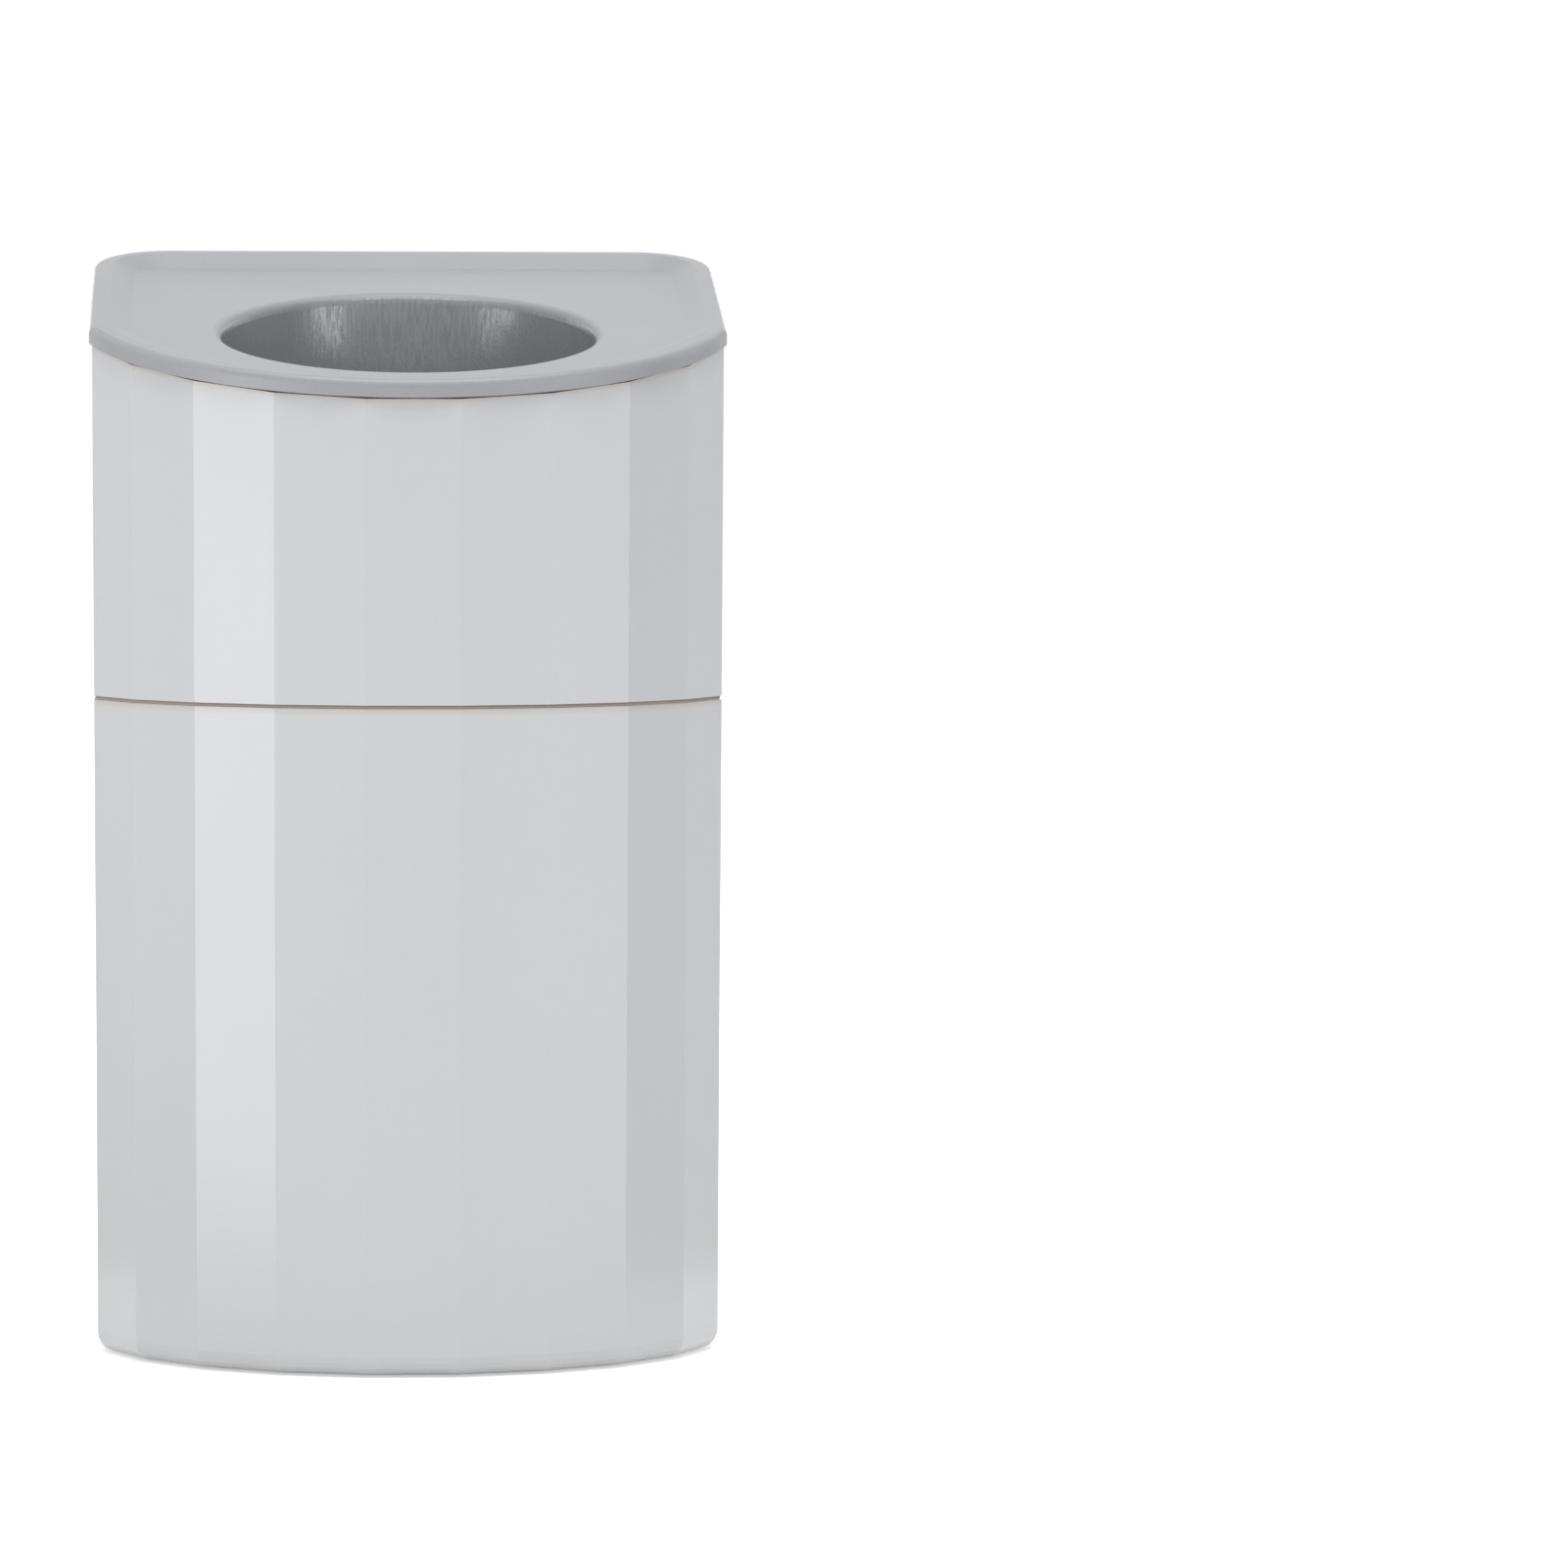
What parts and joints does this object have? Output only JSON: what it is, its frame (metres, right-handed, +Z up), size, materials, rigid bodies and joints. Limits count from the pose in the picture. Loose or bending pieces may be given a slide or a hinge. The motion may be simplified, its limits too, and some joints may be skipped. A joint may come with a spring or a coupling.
{
  "type": "toothpaste dispenser",
  "caption": "Wall-hung toothpaste dispenser: faceted casing, sloped dished lid with a round tube well, brush-operated spring pump inside and a hook on a clear adhesive sheet behind.",
  "frame": {"origin": "on the base, under the middle of the bounding box", "axes": "+Z up along the pump, the facets face -Y, the wall side with the hook faces +Y"},
  "size_m": [0.0742, 0.0774, 0.129],
  "materials": {
    "casing": "satin white plastic",
    "lid": "satin grey plastic",
    "hook": "fine-grained blue-grey plastic",
    "film": "frosted clear film",
    "pump": "natural white plastic",
    "moving": "low-friction white plastic",
    "soft": "soft translucent white silicone",
    "steel": "bright stainless steel"
  },
  "bodies": {
    "cover": {"lower_casing": "casing"},
    "frame": {"upper_casing": "casing", "lid": "lid", "tube_seat": "pump", "neck_gasket": "soft", "cylinder_seal": "soft", "pump_cylinder": "pump", "inlet_valve": "soft", "cylinder_cap": "pump", "stem_seal": "soft", "pump_screws": "steel", "return_spring": "steel"},
    "plunger": {"piston_stem": "moving", "piston": "moving", "piston_seal": "soft", "outlet_valve": "soft", "nozzle": "pump", "push_head": "pump"},
    "wall_mount": {"wall_hook": "hook", "adhesive_sheet": "film"}
  },
  "joints": [
    {"name": "casing_lift", "type": "slide", "parent": "cover", "child": "frame", "axis": [0, 0, 1], "range_m": [0, 0.07]},
    {"name": "plunger_push", "type": "slide", "parent": "frame", "child": "plunger", "axis": [0, 0, 1], "range_m": [0, 0.008], "stiffness_N_per_m": 300, "springref_m": -0.012, "deforming": ["return_spring"]},
    {"name": "hook_slide", "type": "slide", "parent": "frame", "child": "wall_mount", "axis": [0, 0, -1], "range_m": [0, 0.032]}
  ]
}
